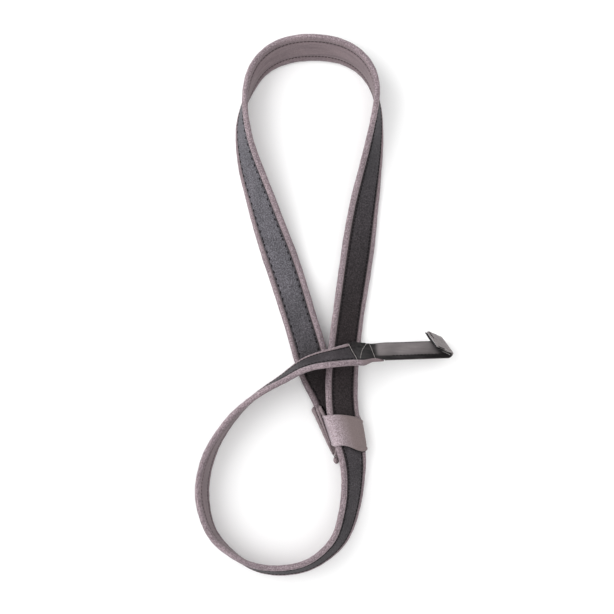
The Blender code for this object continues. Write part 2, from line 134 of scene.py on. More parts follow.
class Ribbon:
    """The centre line as even steps, each with its directions along, across and outward."""

    def __init__(self):
        x, y, roll, lift = np.array(ROUTE, dtype=float).T
        knots = np.concatenate(([0.0], np.cumsum(np.hypot(np.diff(x), np.diff(y)))))
        fine = np.linspace(0.0, knots[-1], (len(knots) - 1) * FINE_STEPS + 1)
        rolls = natural_spline(knots, np.radians(roll), fine)
        lifts = np.maximum(natural_spline(knots, lift, fine), LEAST_LIFT)
        heights = SHOULDER * np.abs(np.sin(rolls)) + HALF_THICKNESS + lifts
        points = np.stack(
            (natural_spline(knots, x, fine), natural_spline(knots, y, fine), heights), axis=1
        )
        lengths = lengths_along(points)
        self.knots = np.interp(knots, fine, lengths)
        self.strap_end = lengths[-1]
        steps = int(round(lengths[-1] / RING_STEP))
        even = np.linspace(0.0, lengths[-1], steps + 1)
        point = np.stack([np.interp(even, lengths, points[:, k]) for k in range(3)], axis=1)
        roll_here = np.interp(even, lengths, rolls)

        # the straight tab beyond the strap's end
        spacing = even[1]
        more = np.arange(1, int(TAB_RUN / spacing) + 1) * spacing
        tab_along = unit(
            np.array((math.cos(TAB_HEADING), math.sin(TAB_HEADING), -math.tan(TAB_FALL)))
        )
        self.run = np.concatenate((even, even[-1] + more))
        self.point = np.concatenate((point, point[-1] + more[:, None] * tab_along))
        rolls_all = np.concatenate((roll_here, np.full(len(more), TAB_ROLL)))
        along = unit(np.gradient(self.point, axis=0))
        right = unit(np.cross(along, UP))
        level_up = np.cross(right, along)
        cosine = np.cos(rolls_all)[:, None]
        sine = np.sin(rolls_all)[:, None]
        self.along = along
        self.across = right * cosine + level_up * sine
        self.outward = level_up * cosine - right * sine

    def read(self, values, s):
        return np.stack([np.interp(s, self.run, values[:, k]) for k in range(3)], axis=-1)

    def place(self, s, x, y):
        """Points at s along the strap, x across it and y out of its leather side."""
        s, x, y = np.broadcast_arrays(s, x, y)
        across = unit(self.read(self.across, s))
        outward = unit(self.read(self.outward, s))
        return self.read(self.point, s) + across * x[..., None] + outward * y[..., None]


def strap_middle(s):
    return tuple(float(v) for v in ribbon.place(s, 0.0, 0.0))


ribbon = Ribbon()
SPLIT = ribbon.knots[SPLIT_KNOT]
ROOT = ribbon.knots[ROOT_KNOT] - ROOT_OVERLAP
STRAP_END = ribbon.strap_end


# ---------------------------------------------------------------- mesh helpers


def new_object(name, data):
    made = bpy.data.objects.new(name, data)
    bpy.context.scene.collection.objects.link(made)
    return made


def add_mesh(name, points, faces, material):
    """A smooth-shaded mesh object with one material."""
    mesh = bpy.data.meshes.new(name)
    mesh.from_pydata(points.reshape(-1, 3).tolist(), [], faces)
    mesh.validate()
    mesh.polygons.foreach_set("use_smooth", [True] * len(mesh.polygons))
    mesh.materials.append(material)
    return new_object(name, mesh)


def set_nap(made, values):
    """Stores a share from 0 to 1 for the material, at each vertex or the same all over: how much the
    nap stands up on cloth, where the keeper's band also gets a painted highlight; the painted sheen
    on the strip leather; the grey, with painted shadow by the bend, on the tab.
    """
    values = np.asarray(values, dtype=np.float32).ravel()
    layer = made.data.attributes.new("nap", "FLOAT", "POINT")
    layer.data.foreach_set("value", np.broadcast_to(values, len(made.data.vertices)).copy())


def set_lay(made, s, section):
    """Stores where each vertex is along and across the strap, so that its cloth is brushed along."""
    across = np.tile(section[:, 0], len(s))
    along = np.repeat(s * BRUSH_STRETCH, len(section))
    through = np.tile(section[:, 1], len(s))
    layer = made.data.attributes.new("lay", "FLOAT_VECTOR", "POINT")
    layer.data.foreach_set("vector", np.column_stack((across, along, through)).ravel())


def ring_faces(rings, size, offset):
    """Quads between closed rings that have the same number of points."""
    row = np.arange(rings - 1)[:, None] * size
    column = np.arange(size)[None, :]
    after = (column + 1) % size
    quads = np.stack((row + column, row + after, row + size + after, row + size + column), axis=-1)
    return (quads.reshape(-1, 4) + offset).tolist()


def tubes(name, points, material):
    """Many closed solids in one piece, of shape (solids, rings, size, 3)."""
    solids, rings, size, _ = points.shape
    faces = []
    for k in range(solids):
        start = k * rings * size
        faces += ring_faces(rings, size, start)
        faces.append([start + i for i in reversed(range(size))])
        faces.append([start + (rings - 1) * size + i for i in range(size)])
    return add_mesh(name, points, faces, material)


def tube(name, points, material):
    """One closed solid through rings of points, of shape (rings, size, 3)."""
    return tubes(name, points[None], material)


def thin_cord(points, radii, sides=8, reference=CORD_REFERENCE):
    """Rings of a closed cord through world points, with a radius for each."""
    along = unit(np.gradient(points, axis=0))
    side = unit(np.cross(along, reference))
    top = np.cross(side, along)
    angle = np.arange(sides) * math.tau / sides
    ring = side[:, None, :] * np.cos(angle)[None, :, None]
    ring = ring + top[:, None, :] * np.sin(angle)[None, :, None]
    return points[:, None, :] + ring * radii[:, None, None]


def mirrored(right_half):
    """A closed section in millimetres from its right half, made into metres."""
    left_half = [(-x, y) for x, y in reversed(right_half) if x != 0.0]
    return np.array(list(right_half) + left_half, dtype=float) * MM


def waves(s, seed, periods, strength):
    """A slow, repeatable unevenness along the strap."""
    random = np.random.default_rng(seed)
    total = np.zeros_like(s)
    for period in periods:
        phase, size = random.uniform(0.0, math.tau), random.uniform(0.5, 1.0)
        total = total + size * np.sin(math.tau * s / period + phase)
    return total * strength / len(periods)


def smoothstep(low, high, value):
    t = np.clip((value - low) / (high - low), 0.0, 1.0)
    return t * t * (3.0 - 2.0 * t)


# ---------------------------------------------------------------- materials


def node(tree, kind, **settings):
    made = tree.nodes.new(kind)
    for name, value in settings.items():
        if name in made.inputs:
            made.inputs[name].default_value = value
        else:
            setattr(made, name, value)
    return made


def new_material(name, **sockets):
    """A material with these constants on its shader, the shader and a place to read patterns."""
    made = bpy.data.materials.new(name)
    made.use_nodes = True
    tree = made.node_tree
    shader = tree.nodes["Principled BSDF"]
    for socket, value in sockets.items():
        shader.inputs[socket.replace("_", " ")].default_value = value
    place = tree.nodes.new("ShaderNodeTexCoord").outputs["Object"]
    return made, tree, shader, place


def noise(tree, place, scale, detail=2.0, roughness=0.5, stretch=None):
    if stretch:
        mapping = node(tree, "ShaderNodeMapping", Scale=stretch)
        tree.links.new(place, mapping.inputs["Vector"])
        place = mapping.outputs["Vector"]
    made = node(tree, "ShaderNodeTexNoise", Scale=scale, Detail=detail, Roughness=roughness)
    tree.links.new(place, made.inputs["Vector"])
    return made.outputs["Fac"]


def ramp(tree, value, stops):
    """Colours picked by a value, from (position, colour) stops."""
    made = tree.nodes.new("ShaderNodeValToRGB")
    elements = made.color_ramp.elements
    while len(elements) < len(stops):
        elements.new(0.5)
    for element, (position, colour) in zip(elements, stops):
        element.position = position
        element.color = (*colour, 1.0)
    tree.links.new(value, made.inputs["Fac"])
    return made.outputs["Color"]


def mix_colour(tree, how, first, second, share=1.0):
    made = tree.nodes.new("ShaderNodeMix")
    made.data_type = "RGBA"
    made.blend_type = how
    if isinstance(share, float):
        made.inputs["Factor"].default_value = share
    else:
        tree.links.new(share, made.inputs["Factor"])
    tree.links.new(first, made.inputs["A"])
    tree.links.new(second, made.inputs["B"])
    return made.outputs["Result"]


def bump(tree, shader, *layers):
    """Stacks bumps on the shader, each (height, strength, distance)."""
    normal = None
    for height, strength, distance in layers:
        made = node(tree, "ShaderNodeBump", Strength=strength, Distance=distance)
        tree.links.new(height, made.inputs["Height"])
        if normal is not None:
            tree.links.new(normal, made.inputs["Normal"])
        normal = made.outputs["Normal"]
    tree.links.new(normal, shader.inputs["Normal"])


def velour_material(name, dark, mid, light, flat):
    """Brushed cloth: speckled where the nap stands up, plain where it lies flat.

    The mesh's own "nap" attribute says how much it stands up, from 0 to 1; on the keeper's cloth the
    standing tones are also a painted highlight, much lighter than the flat ones.
    """
    made, tree, shader, place = new_material(
        name, Roughness=0.95, Sheen_Weight=0.12, Sheen_Roughness=0.5, Specular_IOR_Level=0.15
    )
    fibre = noise(tree, place, 950.0, roughness=0.6)
    fine = noise(tree, place, 2400.0, roughness=0.6)
    along_strap = node(tree, "ShaderNodeAttribute", attribute_name="lay").outputs["Vector"]
    lay = noise(tree, along_strap, 420.0, detail=4.0, roughness=0.6)
    standing = ramp(tree, fibre, ((0.36, dark), (0.5, mid), (0.64, light)))
    hollow = tuple(0.8 * channel for channel in flat)
    raised = tuple(1.2 * channel for channel in flat)
    lying = ramp(tree, fine, ((0.35, hollow), (0.65, raised)))
    nap = node(tree, "ShaderNodeAttribute", attribute_name="nap").outputs["Fac"]
    cloth = mix_colour(tree, "MIX", lying, standing, nap)
    patches = ramp(tree, lay, ((0.3, (0.80, 0.80, 0.81)), (0.7, (1.18, 1.16, 1.16))))
    clouded(tree, shader, cloth, patches)
    bump(tree, shader, (fibre, 0.35, 0.0004), (fine, 0.3, 0.0002), (lay, 0.3, 0.0006))
    return made


def two_tone(tree, pattern, dull, lighter_tones):
    """Two sets of stops, mixed by the mesh's "nap" share: painted sheen on the strip leather, the
    tab's grey with painted shadow by the bend.
    """
    share = node(tree, "ShaderNodeAttribute", attribute_name="nap").outputs["Fac"]
    return mix_colour(tree, "MIX", ramp(tree, pattern, dull), ramp(tree, pattern, lighter_tones), share)


def pores(tree, place, scale):
    grain = node(tree, "ShaderNodeTexVoronoi", Scale=scale)
    tree.links.new(place, grain.inputs["Vector"])
    return grain.outputs["Distance"]


def clouded(tree, shader, colours, clouds):
    """Makes colours, lighter and darker by the clouds, the shader's own."""
    tree.links.new(mix_colour(tree, "MULTIPLY", colours, clouds), shader.inputs["Base Color"])


def strip_leather_material():
    """Matt charcoal leather with fine pores, lighter grey where a painted sheen stands in for the key
    light on it.
    """
    made, tree, shader, place = new_material("strip_leather", Roughness=0.65, Specular_IOR_Level=0.15)
    grain = pores(tree, place, 1500.0)
    fleck = noise(tree, place, 1100.0, roughness=0.6)
    cloud = noise(tree, place, 45.0, detail=3.0)
    dull = (
        (0.38, (0.010, 0.0075, 0.008)),
        (0.52, (0.021, 0.0165, 0.0175)),
        (0.66, (0.040, 0.033, 0.035)),
    )
    # painted sheen: these lighter grey tones are mixed in where the leather faces the key light
    lighter_tones = (
        (0.36, (0.044, 0.041, 0.047)),
        (0.52, (0.086, 0.083, 0.094)),
        (0.66, (0.145, 0.141, 0.158)),
    )
    clouds = ramp(tree, cloud, ((0.35, (0.85, 0.85, 0.85)), (0.7, (1.2, 1.17, 1.18))))
    tones = two_tone(tree, fleck, dull, lighter_tones)
    clouded(tree, shader, tones, clouds)
    bump(tree, shader, (grain, 0.25, 0.0002), (fleck, 0.25, 0.0002))
    return made


def tab_leather_material():
    """Smooth near-black leather, a little glossy, brushed lighter along the tab."""
    made, tree, shader, place = new_material("tab_leather", Roughness=0.5, Specular_IOR_Level=0.15)
    grain = pores(tree, place, 1700.0)
    streak = noise(tree, place, 500.0, detail=3.0, stretch=(0.12, 1.0, 1.0))
    cloud = noise(tree, place, 60.0, detail=3.0)
    dull = ((0.3, (0.004, 0.004, 0.004)), (0.7, (0.024, 0.021, 0.022)))
    # The tab's grey; the face mask leaves it dark toward the bend, a painted shadow under the folded
    # flap.
    grey_unshaded = ((0.3, (0.125, 0.112, 0.114)), (0.7, (0.155, 0.139, 0.141)))
    streaks = two_tone(tree, streak, dull, grey_unshaded)
    clouds = ramp(tree, cloud, ((0.3, (0.85, 0.85, 0.85)), (0.7, (1.2, 1.2, 1.2))))
    clouded(tree, shader, streaks, clouds)
    bump(tree, shader, (grain, 0.18, 0.00015), (cloud, 0.2, 0.0006))
    return made


def flesh_leather_material():
    """The undyed-looking brown-grey flesh side that shows outside the folded hook."""
    made, tree, shader, place = new_material("flesh_leather", Roughness=0.7, Specular_IOR_Level=0.3)
    fibre = noise(tree, place, 900.0, detail=4.0, roughness=0.65)
    cloud = noise(tree, place, 120.0, detail=3.0)
    tones = (
        (0.32, (0.12, 0.105, 0.105)),
        (0.55, (0.20, 0.18, 0.18)),
        (0.72, (0.28, 0.255, 0.255)),
    )
    fibres = ramp(tree, fibre, tones)
    clouds = ramp(tree, cloud, ((0.3, (0.85, 0.85, 0.85)), (0.7, (1.12, 1.12, 1.12))))
    clouded(tree, shader, fibres, clouds)
    bump(tree, shader, (fibre, 0.35, 0.0003))
    return made


def thread_material(name, dark, light):
    """Twisted thread: fine slanting bands."""
    made, tree, shader, place = new_material(name, Roughness=0.7, Specular_IOR_Level=0.15)
    twist = node(tree, "ShaderNodeTexWave", Scale=900.0, Distortion=2.0, Detail=1.0)
    twist.bands_direction = "DIAGONAL"
    tree.links.new(place, twist.inputs["Vector"])
    bands = ramp(tree, twist.outputs["Fac"], ((0.2, dark), (0.8, light)))
    tree.links.new(bands, shader.inputs["Base Color"])
    bump(tree, shader, (twist.outputs["Fac"], 0.4, 0.0001))
    return made


def steel_material():
    """Spring steel, finely brushed."""
    made, tree, shader, place = new_material("hook_steel", Roughness=0.35, Metallic=1.0)
    brush = noise(tree, place, 900.0, stretch=(0.05, 1.0, 1.0))
    brushed = ramp(tree, brush, ((0.3, (0.38, 0.38, 0.39)), (0.7, (0.52, 0.52, 0.53))))
    tree.links.new(brushed, shader.inputs["Base Color"])
    bump(tree, shader, (brush, 0.2, 0.0001))
    return made


VELOUR = velour_material(
    "strap_velour",
    (0.125, 0.097, 0.106), (0.205, 0.163, 0.177), (0.315, 0.260, 0.280), (0.175, 0.137, 0.144),
)
# The keeper's standing tones are a lit copy of its flat ones: a painted highlight where the cloth
# faces the key light from the west.
KEEPER_CLOTH = velour_material(
    "keeper_suede",
    (0.22, 0.175, 0.190), (0.33, 0.270, 0.292), (0.46, 0.390, 0.420), (0.180, 0.143, 0.141),
)
STRIP_LEATHER = strip_leather_material()
TAB_LEATHER = tab_leather_material()
FLESH_LEATHER = flesh_leather_material()
RAW_EDGE = velour_material(
    "raw_edge", (0.14, 0.13, 0.13), (0.30, 0.28, 0.28), (0.48, 0.46, 0.45), (0.30, 0.28, 0.28)
)
DARK_THREAD = thread_material("dark_thread", (0.003, 0.002, 0.003), (0.010, 0.009, 0.010))
BACK_THREAD = thread_material("back_thread", (0.045, 0.033, 0.035), (0.09, 0.07, 0.073))
PALE_THREAD = thread_material("pale_thread", (0.22, 0.20, 0.195), (0.42, 0.39, 0.38))
STEEL = steel_material()

# ---------------------------------------------------------------- the padded strap

# Half of the cover's section in millimetres, from under the leather round the rolled edge to the
# middle of the back, where a stitched groove runs on each side.
COVER_HALF = (
    (0.0, 1.2), (5.0, 1.2), (9.2, 1.2), (9.95, 1.35), (10.3, 1.85), (11.0, 2.4), (12.0, 2.65),
    (13.1, 2.4), (14.1, 1.75), (14.8, 0.85), (15.0, -0.05), (14.75, -0.95), (14.1, -1.65),
    (13.1, -2.1), (11.8, -2.3), (10.4, -2.25), (9.4, -2.0), (8.9, -1.7), (8.6, -1.55), (8.3, -1.7),
    (7.8, -2.0), (6.6, -2.2), (4.0, -2.3), (0.0, -2.3),
)
LEATHER_HALF = (
    (0.0, 1.3), (5.0, 1.3), (9.6, 1.3), (9.95, 1.5), (10.05, 1.8), (9.95, 2.1), (9.65, 2.25),
    (9.2, 2.2), (8.85, 2.0), (8.6, 1.93), (8.35, 2.0), (8.0, 2.2), (7.0, 2.28), (5.0, 2.32),
    (2.5, 2.35), (0.0, 2.36),
)
ROOT_SKEW = -0.28
# How much painted sheen lightens the leather, by the distance along the strap: most up the left leg,
# which faces the key light.
PAINTED_SHEEN = (
    (0.062, 0.0), (0.084, 0.50), (0.21, 1.30), (SPLIT + 0.02, 1.2), (SPLIT + 0.07, 0.6),
    (SPLIT + 0.20, 0.45), (SPLIT + 0.30, 0.15), (SPLIT + 0.36, 0.0), (SPLIT + 0.455, 0.0),
    (SPLIT + 0.475, 0.30), (ROOT, 0.25),
)
STITCH_PITCH = 0.0030
BRUSH_STRETCH = 0.08
STITCH_LENGTH = 0.0022
STITCH_RISE = 0.00028
STITCH_DEPTH = 0.00010
STITCH_SLANT = (0.00012, 0.00004)
STITCH_SIDES = 6
STITCH_RINGS = 7
STITCH_OFFSET = 0.0086
# The side a row of stitches is on, its height and its thread.
FACE_ROW = (1.0, 0.00205, DARK_THREAD)
BACK_ROW = (-1.0, -0.00165, BACK_THREAD)
ROOT_STITCH_GAP = 0.002
BACK_STITCH_END = STRAP_END - 0.034
TAPER_START = ROOT + 0.001
TAPER_FINISH = ROOT + 0.0205
END_SCALE = 0.62
COVER_TIP = 0.004
SKEW_REACH = 0.030
# The height of the root's leather over the strap's middle, at these places across it.
ROOT_PLACES = (-0.0150, -0.0118, -0.0100, 0.0105, 0.0120, 0.0150)
ROOT_TOP = (0.0012, 0.0030, 0.0029, 0.0029, 0.0027, 0.0008)
# The ends of each row of the root's box stitch: along the strap, then across it.
ZIGZAG_ROWS = (
    ((ROOT + ROOT_SKEW * -0.0118 + 0.0003, -0.0118), (ROOT + ROOT_SKEW * 0.0146 + 0.0003, 0.0146)),
    ((ROOT + 0.0012, 0.0098), (ROOT + 0.0170, -0.0092)),
    ((ROOT + 0.0186, -0.0092), (ROOT + 0.0204, 0.0084)),
)
ZIGZAG_STITCHES = 8
ZIGZAG_RINGS = 9
ZIGZAG_RADIUS = 0.00020


def taper_at(s):
    """How much narrower the padding is than in its full run, where it ends in the tab's root."""
    return 1.0 + (END_SCALE - 1.0) * smoothstep(TAPER_START, TAPER_FINISH, s)


def cover_points(s):
    """The cover's rings, gently uneven, gathered at the stitches and tapered at the tab."""
    x, y = mirrored(COVER_HALF).T
    edge = smoothstep(0.0102, 0.0125, np.abs(x))
    side = np.sign(x)
    uneven_width = waves(s, SEED, (0.041, 0.023, 0.0137), 0.00022)[:, None]
    uneven_height = waves(s, SEED + 1, (0.037, 0.019, 0.0093), 0.00018)[:, None]
    x = x + edge * side * uneven_width
    y = y + edge * np.sign(y) * uneven_height
    gather = 0.5 + 0.5 * np.cos(math.tau * s / STITCH_PITCH)[:, None]
    by_back_stitch = np.exp(-(((np.abs(x) - STITCH_OFFSET) / 0.0012) ** 2)) * (y < 0.0)
    by_seam = np.exp(-(((np.abs(x) - 0.0106) / 0.0009) ** 2)) * (y > 0.0)
    y = y + by_back_stitch * gather * 0.00018 - by_seam * gather * 0.00016
    scale = taper_at(s)[:, None]
    tip = 1.0 - 0.6 * smoothstep(STRAP_END - COVER_TIP, STRAP_END, s)[:, None]
    return ribbon.place(s[:, None], x * scale, y * scale * tip)


def cover_nap(s):
    """The nap stands up on the rolled edges, lies flat on the back and fades at the tab's root."""
    section = mirrored(COVER_HALF)
    edge = smoothstep(0.0098, 0.0125, np.abs(section[:, 0]))
    standing = np.where(section[:, 1] > -0.0018, np.maximum(edge, 0.15), 0.15 + 0.35 * edge)
    fade = 1.0 - smoothstep(ROOT - 0.002, ROOT + 0.006, s)
    return standing[None, :] * fade[:, None]


def leather_points(s_start, s_end, skew=0.0):
    """The strip's rings; skew slants its far end, in metres along for a metre across."""
    x, y = mirrored(LEATHER_HALF).T
    count = int((s_end - s_start) / RING_STEP)
    t = np.linspace(0.0, 1.0, count + 1)[:, None]
    last = smoothstep(s_end - SKEW_REACH, s_end, s_start + t * (s_end - s_start))
    s = s_start + t * (s_end - s_start) + skew * x * last
    gather = 0.5 + 0.5 * np.cos(math.tau * s / STITCH_PITCH)
    by_stitch = np.exp(-(((np.abs(x) - STITCH_OFFSET) / 0.0009) ** 2)) * (y > 0.0016)
    y = y - by_stitch * gather * 0.00012
    return ribbon.place(s, x, y)


def leather_painted_sheen(made, start, end):
    """How much painted sheen the strip gets: most up the left leg, less along its sewn edges, a
    painted shade where they sit beside the rolled edges.
    """
    section = mirrored(LEATHER_HALF)
    rings = len(made.data.vertices) // len(section)
    s = np.linspace(start, end, rings)[:, None]
    places, amounts = np.array(PAINTED_SHEEN).T
    length = np.interp(s, places, amounts)
    # painted shade: the sewn edges get less of the painted sheen
    edge = smoothstep(0.0080, 0.0094, np.abs(section[:, 0]))[None, :]
    return length * (1.0 - 0.55 * edge)


def stitch_points(start, end, offset, side, height, radius=0.00050):
    """A row of separate stitches, each a slim arch that dives into the leather at both ends."""
    count = int((end - start) / STITCH_PITCH)
    middle = start + (np.arange(count) + 0.5) * STITCH_PITCH
    middle = np.round(middle / STITCH_PITCH) * STITCH_PITCH + 0.5 * STITCH_PITCH
    random = np.random.default_rng(SEED)
    slant = random.normal(*STITCH_SLANT, count)
    t = np.linspace(-1.0, 1.0, STITCH_RINGS)
    s = middle[:, None] + t[None, :] * STITCH_LENGTH / 2.0
    x = offset + slant[:, None] * t[None, :]
    arch = height + side * STITCH_RISE * (1.0 - t**2) - side * STITCH_DEPTH
    thick = radius * np.sqrt(np.clip(1.0 - 0.85 * t**4, 0.0, 1.0))
    angle = np.arange(STITCH_SIDES) * math.tau / STITCH_SIDES
    ring_x = x[:, :, None] + (thick[:, None] * np.cos(angle))[None]
    ring_y = (arch[None, :, None] + (thick[:, None] * np.sin(angle))[None]) + 0.0 * ring_x
    return ribbon.place(s[:, :, None] + 0.0 * ring_x, ring_x, ring_y)


def stitch_row(name, start, end, offset, row):
    side, height, thread = row
    return tubes(name, stitch_points(start, end, offset, side, height), thread)


def strap_rings(start, end):
    """Places along the strap for its rings."""
    count = int(round((end - start) / RING_STEP))
    return np.linspace(start, end, count + 1)


def build_strap():
    """The left leg is its own set of pieces, baked into the world instead of riding on the strap; its
    sewn end lies on the keeper.
    """
    leg_start = strap_middle(SPLIT)
    leg_end = strap_middle(ribbon.knots[SEWN_END_KNOT])
    leg_cover = tube("left_leg_cover", cover_points(strap_rings(0.0, SPLIT)), VELOUR)
    leg_leather = tube("left_leg_leather", leather_points(0.0, SPLIT), STRIP_LEATHER)
    run_cover = tube("running_cover", cover_points(strap_rings(SPLIT, STRAP_END)), VELOUR)
    run_leather = tube("running_leather", leather_points(SPLIT, ROOT, ROOT_SKEW), STRIP_LEATHER)
    for piece, start, end in ((leg_cover, 0.0, SPLIT), (run_cover, SPLIT, STRAP_END)):
        rings = strap_rings(start, end)
        set_nap(piece, cover_nap(rings))
        set_lay(piece, rings, mirrored(COVER_HALF))
    # the strip leather's painted sheen, stored in its "nap" share
    set_nap(leg_leather, leather_painted_sheen(leg_leather, 0.0, SPLIT))
    set_nap(run_leather, leather_painted_sheen(run_leather, SPLIT, ROOT))
    leg = [leg_cover, leg_leather]
    run = [run_cover, run_leather]
    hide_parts("strap_cover", "strap_core")
    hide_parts("leather_strip")
    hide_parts("strap_end_cover", "strap_end_core")
    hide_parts("strap_end_leather")

    for word, sign in (("inner", 1.0), ("outer", -1.0)):
        offset = sign * STITCH_OFFSET
        root_end = ROOT + ROOT_SKEW * offset - ROOT_STITCH_GAP
        face = stitch_row(f"face_stitches_{word}", SPLIT, root_end, offset, FACE_ROW)
        back = stitch_row(f"back_stitches_{word}", SPLIT, BACK_STITCH_END, offset, BACK_ROW)
        leg_face = stitch_row(f"left_leg_face_stitches_{word}", 0.0, SPLIT, offset, FACE_ROW)
        leg_back = stitch_row(f"left_leg_back_stitches_{word}", 0.0, SPLIT, offset, BACK_ROW)
        end_node = "strap_end_stitches_left" if sign > 0.0 else "strap_end_stitches_right"
        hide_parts(f"stitch_row_{word}")
        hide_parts(end_node)
        run += [face, back]
        leg += [leg_face, leg_back]

    for piece in run:
        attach(piece, "strap")
    for piece in leg:
        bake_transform(piece)


build_strap()

# ---------------------------------------------------------------- the keeper

# The keeper's own plan: x to the right of the running strap, then the distance down it.
RUN = np.array((0.169, -0.986, 0.0)) / math.hypot(0.169, 0.986)
RIGHT = np.cross(UP, RUN)
BAND_ORIGIN = np.array((0.0150, -0.0946, 0.0))
BAND_THICKNESS = 0.0014
BAND_ROWS = 44
BAND_COLUMNS = 90
BAND_LEAN = 0.0038
BAND_RISE = 0.0009
# The band's path across the strap, to the right and up, from its foot over to the panel.
BAND_PATH = (
    (0.0, 0.0060), (-0.0156, 0.0110), (-0.0151, 0.0180), (-0.0146, 0.0212), (-0.0134, 0.0230),
    (-0.0114, 0.0237), (-0.0092, 0.0235), (-0.0040, 0.0209), (0.0018, 0.0180), (0.0080, 0.0149),
    (0.0126, 0.0120), (0.0143, 0.0101), (0.0148, 0.0080), (0.0146, 0.0055), (0.0140, 0.0016),
)
BAND_FOOT = (-0.0169, -0.0164)
HEM_RISE = 0.00035
HEM_GROOVE = 0.00030
# The painted shadow under the lower hem: its depth under the band, how far it shows below the hem,
# and its radius.
HEM_SHADOW_DEPTH = 0.0010
HEM_SHADOW_SHOW = 0.0002
HEM_SHADOW_RADIUS = 0.0007
# How far down the strap the band's two hems lie, by the place across it.
HEM_TOP = ((-17.5, -4.7), (-11.8, -4.9), (-2.6, -3.6), (4.0, -1.5), (11.4, 1.5), (15.0, 5.5))
HEM_BOTTOM = (
    (-13.2, 22.9), (-9.6, 21.5), (-3.6, 21.9), (1.0, 24.4), (5.5, 27.9), (10.0, 30.4), (12.9, 31.3),
    (15.0, 30.2),
)


def keeper_point(right, down, height):
    right, down, height = np.broadcast_arrays(right, down, height)
    plan = BAND_ORIGIN + RIGHT * right[..., None] + RUN * down[..., None]
    return plan + UP * height[..., None]


def smooth_path(points, count):
    """Evenly spaced points along a smooth line through these, and its normals."""
    points = np.array(points, dtype=float)
    knots = lengths_along(points)
    at = np.linspace(0.0, knots[-1], count)
    line = np.stack([natural_spline(knots, points[:, k], at) for k in range(2)], axis=1)
    direction = unit(np.gradient(line, axis=0))
    normal = np.stack((-direction[:, 1], direction[:, 0]), axis=1)
    return line, normal


def curve_of(table, at):
    """Reads a table in millimetres, rounded off, at places in metres."""
    table = np.array(table, dtype=float) * MM
    near = np.stack([np.interp(at + d, table[:, 0], table[:, 1]) for d in (-0.002, 0.0, 0.002)])
    return near.mean(axis=0)


def build_front_band():
    """The band that folds over the running strap, with a rolled hem along both ends."""
    rows = []
    nap_and_highlight_rows = []
    for t in np.linspace(0.0, 1.0, BAND_ROWS):
        path = np.array(BAND_PATH)
        path[0, 0] = BAND_FOOT[0] + (BAND_FOOT[1] - BAND_FOOT[0]) * t
        west = 1.0 - smoothstep(-0.009, 0.004, path[:, 0])
        path[:, 0] += BAND_LEAN * t * west
        path[:, 1] += BAND_RISE * t * west * (path[:, 1] > 0.012)
        line, normal = smooth_path(path, BAND_COLUMNS)
        top = curve_of(HEM_TOP, line[:, 0])
        bottom = curve_of(HEM_BOTTOM, line[:, 0])
        down = top + (bottom - top) * t
        from_hem = np.minimum(down - top, bottom - down)
        hem = HEM_RISE * np.exp(-(((from_hem - 0.0016) / 0.0011) ** 2))
        groove = -HEM_GROOVE * np.exp(-(((from_hem - 0.0034) / 0.0006) ** 2))
        sag = 0.00035 * np.sin(line[:, 0] * 330.0 + 1.0) * np.sin(math.pi * t)
        crease = -0.0004 * np.exp(-(((line[:, 0] + 0.0055) / 0.0012) ** 2)) * np.sin(math.pi * t)
        on_top = smoothstep(0.009, 0.012, line[:, 1])
        lift = (hem + groove) + (sag + crease) * on_top
        edge = np.sqrt(np.clip(from_hem / 0.0009, 0.04, 1.0))
        outer = line + normal * (BAND_THICKNESS / 2.0 * edge + lift * edge)[:, None]
        inner = line - normal * (BAND_THICKNESS / 2.0 * edge)[:, None]
        outer_points = keeper_point(outer[:, 0], down, outer[:, 1])
        inner_points = keeper_point(inner[:, 0], down, inner[:, 1])
        rows.append(np.concatenate((outer_points, inner_points[::-1])))
        # Standing nap across the west part of the band: speckle, and a painted highlight where it
        # faces the key light.
        standing = 1.0 - smoothstep(-0.0120, 0.0050, line[:, 0] - 0.003 * t)
        nap_and_highlight_rows.append(np.concatenate((standing, standing[::-1])))
    band = tube("front_band", np.stack(rows), KEEPER_CLOTH)
    set_nap(band, np.stack(nap_and_highlight_rows))
    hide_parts("keeper_front_band")
    return band


# The left edge of the sewn end: a line down the strap's end and the distance out from it.
BINDING_ORIGIN = np.array((0.0027, -0.0814, 0.0))
END_ALONG = unit(np.array((0.0162 - 0.0001, -0.1126 + 0.0710, 0.0)))
END_OUT = np.cross(END_ALONG, UP)
ROLL_STEP = 0.0008
LEAST_ROLL_RINGS = 8
ROLL_SIDES = 14
ROLL_END = 0.0012
ROLL_NAP = 0.45
# Each roll's places in millimetres: down the edge, out from it, its height and its radius there.
EDGE_ROLLS = {
    "edge_roll_outer": (
        (0.4, 14.3, 5.6, 1.9),
        (8.0, 13.9, 5.6, 1.6),
        (24.0, 13.2, 6.0, 1.4),
        (36.0, 12.7, 6.0, 1.1),
        (44.0, 12.3, 5.0, 0.7),
    ),
    "edge_roll_inner": (
        (1.2, 10.9, 7.6, 1.7),
        (8.0, 11.1, 7.4, 1.2),
        (20.0, 11.3, 7.2, 0.8),
        (34.0, 11.5, 6.6, 0.5),
    ),
    "edge_fold": ((0.6, 8.4, 7.4, 1.5), (5.0, 8.2, 8.4, 1.8), (11.0, 7.2, 8.4, 1.3)),
    "corner_fold": ((37.0, 6.2, 8.4, 1.2), (41.0, 9.0, 7.4, 1.0), (44.6, 11.2, 5.8, 0.9)),
    "end_fold": ((45.6, 12.2, 4.6, 1.3), (48.4, 12.1, 5.0, 2.1), (51.4, 11.7, 4.0, 1.9)),
}
SEAM_START = 0.0030
SEAM_STITCHES = 15
SEAM_PATH = ((0.0, 0.008, 0.024, 0.045), (0.0126, 0.0125, 0.0122, 0.0119))
SEAM_HALF_STITCH = 0.0011
SEAM_RADIUS = 0.0003
SEAM_HEIGHT = 0.0066
SEAM_FALL = 0.0008
SEAM_LENGTH = 0.045


